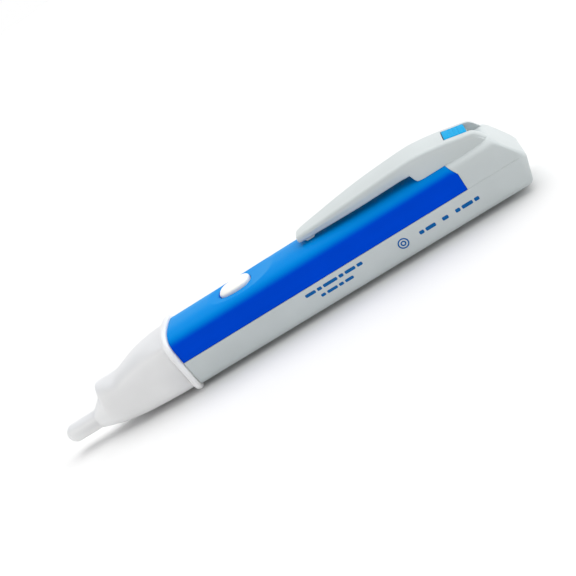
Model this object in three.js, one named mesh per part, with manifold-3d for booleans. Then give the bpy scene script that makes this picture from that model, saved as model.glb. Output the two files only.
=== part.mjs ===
// Non contact voltage tester: a pocket pen with a sensing nose, a two-colour barrel, a push button,
// a flexible clip with a latch rocker, and the inner core that slides out for its two cells.
// Millimetres. +X runs from the nose tip to the tail, +Z is the clip side, Y is the width.
import * as THREE from 'three';
import { mergeVertices } from 'three/addons/utils/BufferGeometryUtils.js';
import Module from 'manifold-3d';

const wasm = await Module();
wasm.setup();

// ---- driving dimensions ----
const LIFT = 1.1;                  // barrel underside above the lowest point of the nose collar
const TIP_X = -76.6;
const TAIL_X = 76.6;
const GAP = 0.3;                   // seam between neighbouring pieces

const HALF_WIDTH = 9.5;            // barrel section
const WIDEST_Z = 13.9;
const CREST_Z = 18.0;
const CROWN_POWER = 2.7;
const FOOT_HALF = 8.0;
const FOOT_ROUND = 3.2;
const RIDGE_Z = 9.05;
const RIDGE_OUT = 0.12;

const WALL = 1.4;                  // sleeve wall
const SHELL_WALL = 1.5;
const COLLAR_FRONT = -33.4;
const COLLAR_REAR = -31.5;
const COLLAR_OUT = 1.1;
const SHELL_FRONT = COLLAR_REAR + GAP;
const SHELL_REAR = 59.3;

const PRONG_RADIUS = 2.8;
const PRONG_Z = 5.05;
const PRONG_END = -65.1;
const NOSE_WALL = 1.2;
// nose stations: x, half width, top, bottom, widest height, squareness above and below
const NOSE = [
  [-65.1, 3.1, 7.95, 2.0, 5.1, 2.1, 2.1],
  [-63.2, 4.0, 9.4, 1.6, 5.6, 2.2, 2.3],
  [-61.2, 4.7, 11.1, 1.2, 6.2, 2.2, 2.5],
  [-60.1, 5.1, 12.1, 1.0, 6.8, 2.1, 2.6],
  [-59.95, 5.25, 13.9, 0.95, 7.3, 2.0, 2.65],
  [-59.7, 5.35, 14.6, 0.85, 7.9, 2.0, 2.7],
  [-59.2, 5.55, 14.75, 0.75, 8.2, 2.05, 2.8],
  [-56.5, 6.3, 14.6, 0.45, 8.6, 2.3, 3.1],
  [-53.0, 7.0, 14.4, 0.2, 9.2, 2.5, 3.4],
  [-50.0, 7.6, 15.2, 0.05, 10.0, 2.7, 3.7],
  [-45.6, 8.3, 16.6, 0, 11.2, 2.8, 4.1],
  [-40.7, 8.8, 17.45, 0, 12.4, 2.8, 4.5],
  [-36.8, 9.1, 17.75, 0, 13.2, 2.8, 4.8],
  [-33.2, 9.2, 17.8, 0, 13.7, 2.8, 4.8],
];

const BUTTON_X = -8.8;
const BUTTON_HALF_LENGTH = 4.85;
const BUTTON_HALF_WIDTH = 4.1;
const BUTTON_TOP = 18.7;
const BUTTON_POWER = 2.6;          // squareness of the button's outline
const BUTTON_GAP = 0.25;           // clearance round the button
const SCOOP_FRONT = -17.2;
const SCOOP_REAR = 3.8;
const SCOOP_DEPTH = 0.85;

const CELL_RADIUS = 5.25;
const CELL_LENGTH = 44.1;
const CELL_Z = 7.8;
const CELL_REAR = 68.4;
const CELL_SPACE = 0.3;            // between the two cells
const TRAY_FRONT = -27.5;
const TRAY_REAR = 71.0;
const TRAY_TOP = 13.2;
const TROUGH_SPACE = 0.25;         // clearance round the cells
const CATCH_FRONT = 59.7;          // bridge of the tray that the latch hook catches
const CATCH_REAR = 60.9;
const CATCH_TOP = 14.45;
const BOARD_Z = 13.4;
const BOARD_THICK = 0.9;
const BOARD_TOP = BOARD_Z + BOARD_THICK;
const PART_Z = BOARD_TOP + 0.05;   // underside of what stands on the board
const SCREWS = { board_screw_front: [-23.2, -6.4], board_screw_rear: [6.2, 6.4] };
const LEAD_Y = 1.4;                // the light's leads either side of the mid plane
const LEAD_X = -29.2;
const SENSOR_X = -28.9;            // where the sensor rod comes up through the board

const SLOPE_X = 76.5;              // tail slope meets the ridge level here
const SLOPE_RUN = 0.68;            // forward run per millimetre of rise
const SKIRT_CUT = 52.0;            // arm and base part here
const SKIRT_FLOOR = 12;            // lower than the barrel's shoulder, which then trims the skirt
const ARM_UNDER_Z = 18.75;         // arm's underside at its tip, and its rise towards the root
const ARM_UNDER_RISE = 0.02;
const CLIP_REAR = 71;
// clip: x, top height, half width
const CLIP = [
  [13.7, 20.5, 2.9],
  [14.0, 20.95, 3.2],
  [17.7, 21.45, 3.9],
  [21.2, 21.75, 4.5],
  [26.8, 22.3, 5.3],
  [34.8, 22.95, 6.1],
  [42.6, 23.4, 6.35],
  [50.6, 23.65, 6.45],
  [52.4, 23.6, 6.45],
  [55.0, 23.25, 6.45],
  [60.3, 22.4, 6.45],
  [64.1, 21.6, 6.4],
  [67.6, 20.85, 6.3],
  [69.3, 20.2, 6.2],
  [70.0, 19.3, 6.1],
  [71.0, 18.6, 6.0],
];
const CLIP_FLARE = 0.6;            // how far the side of the base leans out by its lower edge
const LATCH_FRONT = 60.6;
const LATCH_REAR = 66.8;
const LATCH_HALF = 3.9;
const LATCH_STEM_HALF = 2.4;
const LATCH_WINDOW_HALF = 2.9;
const LATCH_PIN_X = 63.5;
const LATCH_PIN_Z = 19.0;
const LATCH_PIN_RADIUS = 0.45;
const LATCH_PIN_HALF = 5.2;

// ---- colours ----
const GREY = [0xc9cecd, 0.5, 0];
const BLUE = [0x0a5fe0, 0.35, 0];
const SKY = [0x12a8ea, 0.4, 0];
const MILK = [0xe9ecef, 0.35, 0];
const STEEL = [0xb8bcc2, 0.3, 1];
const BRASS = [0xc9a24a, 0.3, 1];
const BLACK = [0x1b1c1f, 0.5, 0];
const DARK = [0x4a4e55, 0.55, 0];
const GREEN = [0x1f6b3a, 0.45, 0];

// ---- geometry helpers ----
function toSolid(geometry) {
  const plain = geometry.clone();
  plain.deleteAttribute('normal');
  plain.deleteAttribute('uv');
  const merged = mergeVertices(plain, 1e-5);
  return new wasm.Manifold(new wasm.Mesh({
    numProp: 3,
    vertProperties: new Float32Array(merged.attributes.position.array),
    triVerts: new Uint32Array(merged.index.array),
  }));
}

function toGeometry(solid) {
  const mesh = solid.getMesh();
  const geometry = new THREE.BufferGeometry();
  geometry.setAttribute('position', new THREE.BufferAttribute(new Float32Array(mesh.vertProperties), 3));
  geometry.setIndex(new THREE.BufferAttribute(new Uint32Array(mesh.triVerts), 1));
  const loose = geometry.toNonIndexed();
  loose.computeVertexNormals();
  return loose;
}

function signedVolume(points, faces) {
  let volume = 0;
  for (const [a, b, c] of faces) {
    const [p, q, r] = [points[a], points[b], points[c]];
    volume += p[0] * (q[1] * r[2] - q[2] * r[1]) - p[1] * (q[0] * r[2] - q[2] * r[0])
      + p[2] * (q[0] * r[1] - q[1] * r[0]);
  }
  return volume;
}

// Skins a stack of rings with equal point counts and closes both ends about their middles.
function loft(rings) {
  const count = rings[0].length;
  const points = rings.flat();
  const faces = [];
  for (let k = 0; k + 1 < rings.length; k += 1) {
    for (let i = 0; i < count; i += 1) {
      const a = k * count + i;
      const b = k * count + (i + 1) % count;
      faces.push([a, b, b + count], [a, b + count, a + count]);
    }
  }
  const lastRing = (rings.length - 1) * count;
  for (const [ring, first, flip] of [[rings[0], 0, true], [rings.at(-1), lastRing, false]]) {
    const middle = [0, 1, 2].map((axis) => ring.reduce((sum, p) => sum + p[axis], 0) / count);
    points.push(middle);
    for (let i = 0; i < count; i += 1) {
      const a = first + i;
      const b = first + (i + 1) % count;
      faces.push(flip ? [points.length - 1, b, a] : [points.length - 1, a, b]);
    }
  }
  if (signedVolume(points, faces) < 0) faces.forEach((face) => face.reverse());
  const geometry = new THREE.BufferGeometry();
  geometry.setAttribute('position', new THREE.Float32BufferAttribute(points.flat(), 3));
  geometry.setIndex(faces.flat());
  return toSolid(geometry);
}

function box(x0, x1, y0, y1, z0, z1) {
  const geometry = new THREE.BoxGeometry(x1 - x0, y1 - y0, z1 - z0);
  geometry.translate((x0 + x1) / 2, (y0 + y1) / 2, (z0 + z1) / 2);
  return toSolid(geometry);
}

function rodX(radius, x0, x1, y, z, sides = 32) {
  const geometry = new THREE.CylinderGeometry(radius, radius, x1 - x0, sides);
  geometry.rotateZ(Math.PI / 2);
  geometry.translate((x0 + x1) / 2, y, z);
  return toSolid(geometry);
}

function rodY(radius, y0, y1, x, z, sides = 24) {
  const geometry = new THREE.CylinderGeometry(radius, radius, y1 - y0, sides);
  geometry.translate(x, (y0 + y1) / 2, z);
  return toSolid(geometry);
}

function rodZ(radius, z0, z1, x, y, sides = 24) {
  const geometry = new THREE.CylinderGeometry(radius, radius, z1 - z0, sides);
  geometry.rotateX(Math.PI / 2);
  geometry.translate(x, y, (z0 + z1) / 2);
  return toSolid(geometry);
}

function tube(path, radius, steps, sides) {
  const curve = new THREE.CatmullRomCurve3(path.map((p) => new THREE.Vector3(...p)));
  const circle = new THREE.Shape();
  circle.absarc(0, 0, radius, 0, Math.PI * 2, false);
  return toSolid(new THREE.ExtrudeGeometry(circle, {
    steps, extrudePath: curve, curveSegments: sides, bevelEnabled: false,
  }));
}

// A side profile in X and Z carried across the width from y0 to y1.
function slab(profile, y0, y1) {
  const shape = new THREE.Shape(profile.map(([x, z]) => new THREE.Vector2(x, z)));
  const geometry = new THREE.ExtrudeGeometry(shape, { depth: y1 - y0, bevelEnabled: false });
  geometry.rotateX(Math.PI / 2);
  geometry.translate(0, y1, 0);
  return toSolid(geometry);
}

// A plan outline in X and Y carried up from z0 to z1.
function plate(outline, z0, z1) {
  const shape = new THREE.Shape(outline.map(([x, y]) => new THREE.Vector2(x, y)));
  const geometry = new THREE.ExtrudeGeometry(shape, { depth: z1 - z0, bevelEnabled: false });
  geometry.translate(0, 0, z0);
  return toSolid(geometry);
}

// A turned piece along X: profile is (radius, distance from its rear end towards the nose).
function turned(profile, rear, z, sides) {
  const points = profile.map(([r, h]) => new THREE.Vector2(r, h));
  const geometry = new THREE.LatheGeometry(points, sides);
  geometry.rotateZ(Math.PI / 2);
  geometry.translate(rear, 0, z);
  return toSolid(geometry);
}

// ---- section outlines ----
// Half outline of the barrel from the middle of its underside up to the crest, moved in by inset.
function barrelHalf(inset) {
  const half = [];
  const foot = FOOT_HALF - inset * 0.95;
  const round = Math.max(FOOT_ROUND - inset * 0.6, 0.8);
  const wide = HALF_WIDTH - inset;
  const lean = (wide - foot) / (WIDEST_Z - inset);
  const cornerTop = [foot + lean * round, inset + round];
  for (let i = 0; i <= 8; i += 1) {
    const t = i / 8;
    half.push([
      (1 - t) * (1 - t) * (foot - round) + 2 * t * (1 - t) * foot + t * t * cornerTop[0],
      (1 - t) * (1 - t) * inset + 2 * t * (1 - t) * inset + t * t * cornerTop[1],
    ]);
  }
  half.push([foot + lean * (RIDGE_Z - inset) + RIDGE_OUT, RIDGE_Z]);
  for (let i = 0; i < 14; i += 1) {
    const angle = (i / 14) * Math.PI / 2;
    half.push([
      wide * Math.cos(angle) ** (2 / CROWN_POWER),
      WIDEST_Z + (CREST_Z - inset - WIDEST_Z) * Math.sin(angle) ** (2 / CROWN_POWER),
    ]);
  }
  return half;
}

function barrelRing(x, inset) {
  const half = barrelHalf(inset);
  const left = half.map(([y, z]) => [-y, z]).reverse();
  return [[0, inset], ...half, [0, CREST_Z - inset], ...left].map(([y, z]) => [x, y, z]);
}

function barrel(inset, x0, x1) {
  return loft([barrelRing(x0, inset), barrelRing(x1, inset)]);
}

// An egg-shaped section: separate heights and squareness above and below its widest level.
function eggRing(x, halfWidth, top, bottom, widest, power, lowPower = power, inset = 0, count = 36) {
  const ring = [];
  for (let i = 0; i < count; i += 1) {
    const angle = (i / count) * Math.PI * 2;
    const [c, s] = [Math.cos(angle), Math.sin(angle)];
    const rise = s >= 0 ? top - inset - widest : widest - bottom - inset;
    const n = s >= 0 ? power : lowPower;
    ring.push([
      x,
      Math.sign(c) * (halfWidth - inset) * Math.abs(c) ** (2 / n),
      widest + Math.sign(s) * rise * Math.abs(s) ** (2 / n),
    ]);
  }
  return ring;
}

// Straight-line reading of a table's column at x.
function between(table, x, column) {
  for (let i = 0; i + 1 < table.length; i += 1) {
    const [a, b] = [table[i], table[i + 1]];
    if (x <= b[0]) return a[column] + (b[column] - a[column]) * (x - a[0]) / (b[0] - a[0]);
  }
  return table.at(-1)[column];
}

// ---- nose cap ----
function noseOutside() {
  const rings = [];
  for (let i = 1; i <= 7; i += 1) {
    const angle = (i / 7) * Math.PI / 2;
    const r = PRONG_RADIUS * Math.sin(angle);
    const x = TIP_X + PRONG_RADIUS * (1 - Math.cos(angle));
    rings.push(eggRing(x, r, PRONG_Z + r, PRONG_Z - r, PRONG_Z, 2));
  }
  const root = PRONG_RADIUS + 0.05;
  rings.push(eggRing(PRONG_END - 0.2, root, PRONG_Z + root, PRONG_Z - root, PRONG_Z, 2));
  NOSE.forEach((station) => rings.push(eggRing(...station)));
  return loft(rings);
}

function collar() {
  const steps = [[0, 0], [0.3, 0.7], [0.75, COLLAR_OUT], [1.15, 1.0], [1.6, 0.6], [1.9, 0.15]];
  return loft(steps.map(([dx, out]) => barrelRing(COLLAR_FRONT + dx, -out)));
}

function noseCap() {
  const cavityFront = -58.6;
  const inside = NOSE.filter(([x]) => x > cavityFront);
  const cavity = loft([
    ...inside.map((station) => eggRing(...station, NOSE_WALL)),
    eggRing(COLLAR_REAR + 5, ...NOSE.at(-1).slice(1), 1.5 + NOSE_WALL),
  ]);
  const bore = rodX(1.4, -74.2, -54, 0, PRONG_Z, 24);
  const spigot = barrel(WALL + GAP, COLLAR_REAR - 1, COLLAR_REAR + 4);
  const spigotBore = barrel(WALL + GAP + 1.1, COLLAR_REAR - 1.6, COLLAR_REAR + 6);
  return noseOutside().add(collar()).add(spigot).subtract(cavity).subtract(bore).subtract(spigotBore);
}

// ---- barrel pieces ----
// What is scooped out round the button: a shallow arc along the pen, run past its ends at the same curve.
function scoop() {
  const overrun = 1.15;
  const middle = (SCOOP_FRONT + SCOOP_REAR) / 2;
  const reach = (SCOOP_REAR - SCOOP_FRONT) / 2;
  const profile = [];
  for (let i = -8; i <= 8; i += 1) {
    const t = (i / 8) * overrun;
    profile.push([middle + reach * t, CREST_Z - SCOOP_DEPTH * (1 - t * t)]);
  }
  profile.push([middle + reach * overrun, 25], [middle - reach * overrun, 25]);
  return slab(profile, -9, 9);
}

// The button's outline at height z, grown all round by grow.
function buttonRing(z, grow, count = 32) {
  const [length, width] = [BUTTON_HALF_LENGTH + grow, BUTTON_HALF_WIDTH + grow];
  const flat = eggRing(0, length, width, -width, 0, BUTTON_POWER, BUTTON_POWER, 0, count);
  return flat.map(([, along, across]) => [BUTTON_X + along, across, z]);
}

function upperShell() {
  const rearCorner = slab([[57.0, 19], [60, 19], [60, 14.2], [SHELL_REAR, 14.2]], -12, 12);
  const above = box(SHELL_FRONT - 5, SHELL_REAR + 5, -15, 15, RIDGE_Z + GAP / 2, 30);
  const outside = barrel(0, SHELL_FRONT, SHELL_REAR).intersect(above).subtract(rearCorner);
  const hollow = barrel(SHELL_WALL, SHELL_FRONT - 3, SHELL_REAR + 3);
  const guide = loft([buttonRing(15.5, 1.2), buttonRing(16.9, 1.2)]);
  const hole = loft([buttonRing(10, BUTTON_GAP), buttonRing(25, BUTTON_GAP)]);
  return outside.subtract(hollow).add(guide).subtract(scoop()).subtract(hole);
}

function slopeX(z) {
  return SLOPE_X - (z - RIDGE_Z) * SLOPE_RUN;
}

// Side profile of the sleeve: flat underside, rounded undercut at the tail, and the slope up to the crest.
function tailBlock() {
  const profile = [
    [SHELL_FRONT, -3], [TAIL_X - 4.3, -3], [TAIL_X - 3.9, 0], [TAIL_X - 2.9, 0.3], [TAIL_X - 2.2, 0.9],
    [TAIL_X - 1.6, 2.4], [TAIL_X, RIDGE_Z - 0.25], [TAIL_X - 0.02, RIDGE_Z + 0.35], [slopeX(20), 20],
    [SHELL_FRONT, 20],
  ];
  return slab(profile, -12, 12);
}

// What is cut off one corner of the tail, seen from above, to round it.
function tailCorner(side) {
  const corner = 3.0;
  const centre = [TAIL_X - corner, side * (HALF_WIDTH - corner)];
  const outline = [[centre[0], side * 12], [TAIL_X + 4, side * 12], [TAIL_X + 4, centre[1]]];
  for (let i = 0; i <= 6; i += 1) {
    const angle = (i / 6) * Math.PI / 2;
    outline.push([centre[0] + corner * Math.cos(angle), centre[1] + side * corner * Math.sin(angle)]);
  }
  return plate(outline, -2, 22);
}

function outerSleeve() {
  const outside = barrel(0, SHELL_FRONT, TAIL_X + 2).intersect(tailBlock());
  const body = outside.subtract(tailCorner(-1)).subtract(tailCorner(1));
  const hollow = barrel(WALL, SHELL_FRONT - 2, 69.8);
  const lowEnd = barrel(WALL, 69, 71.6).intersect(box(68, 72, -15, 15, 0, 14));
  const opening = slab([
    [SHELL_FRONT - 2, RIDGE_Z - GAP / 2], [SHELL_REAR + GAP, RIDGE_Z - GAP / 2], [SHELL_REAR + GAP, 14.35],
    [57.0 + GAP, 19.2], [SHELL_FRONT - 2, 19.2],
  ], -12, 12);
  return body.subtract(hollow.add(lowEnd)).subtract(opening).subtract(latchWindow());
}

// ---- clip ----
// One section: rounded top edges, and flared sides where it reaches down as a skirt.
function clipRing(x, lower) {
  const top = between(CLIP, x, 1);
  const half = between(CLIP, x, 2);
  const low = lower ?? ARM_UNDER_Z + (x - CLIP[0][0]) * ARM_UNDER_RISE;
  const wide = half + (lower ? CLIP_FLARE * (top - low) / (top - 17) : 0);
  const round = Math.min(1.1, (top - low) * 0.45);
  const under = lower ? 0.35 : Math.min(1.0, (top - low) * 0.4);
  const ring = [];
  const corners = [
    [half - round, top - round, round, 0],
    [round - half, top - round, round, 1],
    [under - wide, low + under, under, 2],
    [wide - under, low + under, under, 3],
  ];
  for (const [y, z, r, quarter] of corners) {
    for (let i = 0; i <= 4; i += 1) {
      const angle = (quarter + i / 4) * Math.PI / 2;
      ring.push([x, y + r * Math.cos(angle), z + r * Math.sin(angle)]);
    }
  }
  return ring;
}

function clipSolid(x0, x1, lower) {
  const inner = CLIP.map(([x]) => x).filter((x) => x > x0 && x < x1);
  return loft([x0, ...inner, x1].map((x) => clipRing(x, lower)));
}

// The front of the skirt, sloping down and back from the arm's underside, with a rounded lower corner.
function armSkirt() {
  const rear = SKIRT_CUT - GAP;
  const profile = [
    [48.1, 20.6], [48.9, 18.3], [49.2, 17.7], [49.6, 17.3], [50.3, 17.05], [51, 16.7], [rear, 16.7],
    [rear, 21], [48.1, 21],
  ];
  return slab(profile, -8, 8).intersect(clipSolid(48, rear, SKIRT_FLOOR));
}

function clipArm() {
  const arm = clipSolid(CLIP[0][0], SKIRT_CUT - GAP);
  const nub = slab([
    [15.2, 20], [15.4, 18.7], [15.9, 18.25], [17.9, 18.25], [18.7, 18.8], [19.4, 20],
  ], -2.7, 2.7);
  const channel = slab([[22, 18], [22, 20.6], [34.8, 21.75], [46, 22.2], [46, 18]], -3.3, 3.3);
  return arm.subtract(channel).add(nub).add(armSkirt()).subtract(barrel(-GAP, 40, 60));
}

// The opening under the rocker that its stem and hook reach through.
function latchWindow() {
  return box(LATCH_FRONT + 0.5, LATCH_REAR - 0.7, -LATCH_WINDOW_HALF, LATCH_WINDOW_HALF, 15, 21);
}

// Two rails run back from the rocker's pocket, either side of an open channel, down to the tail slope.
function clipBase() {
  const tailPlane = slab([[50, 30], [slopeX(30), 30], [SLOPE_X, RIDGE_Z], [50, RIDGE_Z]], -9, 9);
  const railEnd = slab([
    [50, SKIRT_FLOOR], [69.4, SKIRT_FLOOR], [69.9, 18], [69.7, 19], [CLIP_REAR, 19.2], [CLIP_REAR, 30],
    [50, 30],
  ], -9, 9);
  const block = clipSolid(SKIRT_CUT, CLIP_REAR, SKIRT_FLOOR).intersect(tailPlane).intersect(railEnd);
  const pocketHalf = LATCH_HALF + GAP;
  const pocket = slab([
    [LATCH_FRONT - GAP, 25], [LATCH_FRONT - GAP, 19.9], [LATCH_REAR + GAP, 19.2], [LATCH_REAR + GAP, 25],
  ], -pocketHalf, pocketHalf);
  const channel = box(LATCH_REAR, CLIP_REAR + 1, -pocketHalf, pocketHalf, SKIRT_FLOOR, 25);
  const pinReach = LATCH_PIN_HALF + 0.2;
  const pinHole = rodY(LATCH_PIN_RADIUS + 0.05, -pinReach, pinReach, LATCH_PIN_X, LATCH_PIN_Z);
  return block.subtract(barrel(-GAP, 40, 80)).subtract(pocket).subtract(channel)
    .subtract(latchWindow()).subtract(pinHole);
}

// The rocker: a cap flush with the clip, a stem turning on the pin, and a beam with a hook at its front.
function latchTab() {
  const top = (x) => between(CLIP, x, 1) + 0.05;
  const cap = slab([
    [LATCH_FRONT, top(LATCH_FRONT) - 0.35], [LATCH_FRONT + 0.35, top(LATCH_FRONT + 0.35)],
    [LATCH_REAR - 0.35, top(LATCH_REAR)], [LATCH_REAR, top(LATCH_REAR) - 0.4],
    [LATCH_REAR, 20.0], [LATCH_FRONT, 20.7],
  ], -LATCH_HALF, LATCH_HALF);
  const half = LATCH_STEM_HALF;
  const stem = box(LATCH_PIN_X - 1.3, LATCH_PIN_X + 1.1, -half, half, 14.9, 20.9);
  const beam = box(58.1, LATCH_PIN_X - 1, -half, half, 14.9, 15.7);
  const hook = slab([[58.1, 15.5], [58.1, 14.8], [59.1, 14.8], [59.4, 15.5]], -half, half);
  const pinHole = rodY(LATCH_PIN_RADIUS + 0.08, -6, 6, LATCH_PIN_X, LATCH_PIN_Z);
  return cap.add(stem).add(beam).add(hook).subtract(pinHole);
}

// ---- core ----
// Lower half barrel that carries the board on top and the two cells in a trough along its middle.
function tray() {
  const outside = barrel(WALL + 0.4, TRAY_FRONT, TRAY_REAR);
  const above = box(TRAY_FRONT - 5, TRAY_REAR + 5, -15, 15, TRAY_TOP, 30);
  const start = CELL_REAR - 2 * CELL_LENGTH - 1.8;
  const end = TRAY_REAR - 1.2;
  const half = CELL_RADIUS + TROUGH_SPACE;
  const trough = rodX(half, start, end, 0, CELL_Z);
  const mouth = box(start, end, -half, half, CELL_Z, 30);
  const stripGroove = box(start, end, -6.4, -5, 11.3, TRAY_TOP + 0.1);
  const soundChamber = box(TRAY_FRONT + 1, -22.5, -6.2, 6.2, 2.2, 30);
  const bridge = barrel(WALL + 0.4, CATCH_FRONT, CATCH_REAR)
    .intersect(box(CATCH_FRONT, CATCH_REAR, -15, 15, 12, CATCH_TOP))
    .subtract(box(CATCH_FRONT - 1, CATCH_REAR + 1, -half, half, 0, TRAY_TOP + 0.1));
  let body = outside.subtract(above).subtract(trough).subtract(mouth).subtract(soundChamber).add(bridge)
    .subtract(stripGroove);
  for (const [x, y] of Object.values(SCREWS)) body = body.subtract(rodZ(0.45, 11.4, 15, x, y, 16));
  return body;
}

function circuitBoard() {
  const [front, neck, shoulder, rear, half] = [-30.2, -28.2, -27, 8.2, 7.3];
  let body = plate([
    [front, -3.5], [neck, -5], [shoulder, -half], [rear, -half], [rear, half], [shoulder, half], [neck, 5],
    [front, 3.5],
  ], BOARD_Z, BOARD_TOP);
  for (const [x, y] of Object.values(SCREWS)) body = body.subtract(rodZ(0.75, 12, 16, x, y, 20));
  for (const [x, y] of [[LEAD_X, -LEAD_Y], [LEAD_X, LEAD_Y], [SENSOR_X, 0]]) {
    body = body.subtract(rodZ(0.4, 12, 16, x, y, 16));
  }
  return body;
}

function boardScrew(x, y) {
  const head = rodZ(0.95, PART_Z, BOARD_TOP + 0.65, x, y, 20);
  const shank = rodZ(0.4, 11.6, BOARD_TOP + 0.3, x, y, 16);
  const slot = box(x - 1.2, x + 1.2, y - 0.15, y + 0.15, BOARD_TOP + 0.35, 16);
  return head.add(shank).subtract(slot);
}

function cell(rear) {
  const [r, end] = [CELL_RADIUS, CELL_LENGTH];
  return turned([
    [0, 0], [4.6, 0], [4.75, 0.15], [r - 0.2, 0.15], [r, 0.4], [r, end - 1.6], [r - 0.3, end - 1.2],
    [2.6, end - 1.0], [1.9, end - 0.9], [1.9, end - 0.15], [1.7, end], [0, end],
  ], rear, CELL_Z, 24);
}

// A conical spring: widest against the end wall, narrowest against the cell.
function batteryCoil() {
  const turns = 3;
  const perTurn = 12;
  const path = [];
  for (let i = 0; i <= turns * perTurn; i += 1) {
    const t = i / (turns * perTurn);
    const angle = t * turns * Math.PI * 2;
    const radius = 3.6 - 1.6 * t;
    path.push([CELL_REAR + 1.2 - 0.95 * t, radius * Math.cos(angle), CELL_Z + radius * Math.sin(angle)]);
  }
  return tube(path, 0.14, turns * perTurn, 4);
}

function frontContact() {
  const x = CELL_REAR - 2 * CELL_LENGTH - 0.9;
  const leaf = box(x - 0.3, x, -3.2, 3.2, 4.4, 11.2);
  const dimple = rodX(1.5, x - 0.1, x + 0.4, 0, CELL_Z, 24);
  const tag = box(x - 0.3, x, -0.8, 0.8, 11, 13.1);
  return leaf.add(dimple).add(tag);
}

function buzzer() {
  const can = rodX(4.9, -25.9, -22.8, 0, CELL_Z, 36);
  const ring = rodX(4.4, -26.15, -25.89, 0, CELL_Z, 36);
  const mouth = rodX(1.0, -26.4, -25.2, 0, CELL_Z, 20);
  return can.add(ring).subtract(mouth);
}

function led() {
  return turned([
    [0, 0], [2.7, 0], [2.7, 0.9], [2.45, 0.95], [2.45, 4.6], [2.25, 5.6], [1.75, 6.4], [1.0, 6.9], [0, 7.05],
  ], -35.6, 12.2, 28);
}

function ledLead(side) {
  return tube([
    [-35.25, side * 1.27, 12.2], [-33.6, side * 1.27, 12.25], [-31.6, side * 1.35, 14.2],
    [-30.0, side * LEAD_Y, 15.0], [LEAD_X - 0.1, side * LEAD_Y, 14.6], [LEAD_X, side * LEAD_Y, 13.0],
  ], 0.24, 14, 3);
}

function sensorRod() {
  return tube([
    [-66.6, 0, PRONG_Z], [-60, 0, PRONG_Z + 0.1], [-52, 0, PRONG_Z + 1.2], [-44, 0, PRONG_Z + 2.6],
    [-36, 0, PRONG_Z + 3.6], [-31, 0, 9.6], [-29.2, 0, 11.4], [SENSOR_X, 0, 12.6], [SENSOR_X, 0, 14.7],
  ], 0.25, 20, 3);
}

function sensorTip() {
  return turned([[0, 0], [1.0, 0], [1.1, 0.2], [1.1, 5.6], [0.7, 6.3], [0, 6.5]], -67.2, PRONG_Z, 24);
}

// A hollow domed cap with a plunger that meets the switch.
function powerButton() {
  const domed = [[16.25, 0], [17.6, 0], [18.1, -0.3], [18.45, -0.9], [18.64, -1.8], [BUTTON_TOP, -2.8]];
  const cap = loft(domed.map(([z, grow]) => buttonRing(z, grow)));
  const under = loft([buttonRing(16.0, -1.2), buttonRing(17.4, -1.2)]);
  return cap.subtract(under).add(rodZ(1.2, 16.35, 18, BUTTON_X, 0));
}

function switchBody() {
  const half = 2.4;
  const can = box(BUTTON_X - half, BUTTON_X + half, -half, half, PART_Z, BOARD_TOP + 1.0);
  const legs = [-1.5, 1.5].map((y) => (
    box(BUTTON_X - 3.2, BUTTON_X + 3.2, y - 0.3, y + 0.3, PART_Z, PART_Z + 0.2)
  ));
  const well = rodZ(1.3, BOARD_TOP + 0.5, BOARD_TOP + 2, BUTTON_X, 0);
  return can.add(legs[0]).add(legs[1]).subtract(well);
}

// A moulded chip with a row of flat legs along both long sides.
function chip(x, y, length, width, height, legs) {
  let body = box(x - length / 2, x + length / 2, y - width / 2, y + width / 2, PART_Z + 0.1, PART_Z + height);
  const reach = width / 2 + 0.7;
  for (let i = 0; i < legs; i += 1) {
    const at = x - length / 2 + (i + 0.5) * (length / legs);
    body = body.add(box(at - 0.18, at + 0.18, y - reach, y + reach, PART_Z, PART_Z + 0.35));
  }
  return body;
}

// A surface-mounted part: a low block with a slightly larger metal cap at each end.
function chipPart(x, y, length, width, height) {
  const [front, rear, half, cap] = [x - length / 2, x + length / 2, width / 2, 0.4];
  const middle = box(front + 0.3, rear - 0.3, y - half, y + half, PART_Z + 0.03, PART_Z + height);
  const ends = [front, rear - cap].map((at) => (
    box(at, at + cap, y - half - 0.03, y + half + 0.03, PART_Z, PART_Z + height + 0.03)
  ));
  return middle.add(ends[0]).add(ends[1]);
}

function returnStrip() {
  return box(-21.3, 69.6, -6.05, -5.8, 11.6, 13);
}

// ---- assembly ----
const pen = new THREE.Group();
pen.name = 'voltage_tester';

function place(name, solid, [colour, roughness, metalness]) {
  const geometry = toGeometry(solid);
  geometry.translate(0, 0, LIFT);
  const material = new THREE.MeshStandardMaterial({ color: colour, roughness, metalness });
  const mesh = new THREE.Mesh(geometry, material);
  mesh.name = name;
  pen.add(mesh);
}

place('nose_cap', noseCap(), MILK);
place('upper_shell', upperShell(), BLUE);
place('outer_sleeve', outerSleeve(), GREY);
place('clip_base', clipBase(), GREY);
place('clip_arm', clipArm(), GREY);
place('latch_tab', latchTab(), SKY);
place('latch_pin', rodY(LATCH_PIN_RADIUS, -LATCH_PIN_HALF, LATCH_PIN_HALF, LATCH_PIN_X, LATCH_PIN_Z), STEEL);
place('power_button', powerButton(), MILK);
place('switch_body', switchBody(), BLACK);
place('switch_stem', rodZ(1.05, BOARD_TOP + 0.85, 15.75, BUTTON_X, 0), BRASS);
place('tray', tray(), DARK);
place('circuit_board', circuitBoard(), GREEN);
for (const [name, [x, y]] of Object.entries(SCREWS)) place(name, boardScrew(x, y), STEEL);
place('control_chip', chip(1.2, 0, 5, 3.8, 1.3, 4), BLACK);
place('driver_chip', chip(-18.6, 0, 3, 1.7, 1.0, 3), BLACK);
place('capacitor', chipPart(-23.0, 2.2, 2.2, 1.3, 0.9), BRASS);
place('resistor_front', chipPart(-23.0, -1.6, 1.8, 1.0, 0.5), BLACK);
place('resistor_rear', chipPart(5.9, -4.2, 1.8, 1.0, 0.5), BLACK);
place('led', led(), MILK);
place('led_lead_left', ledLead(-1), STEEL);
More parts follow.
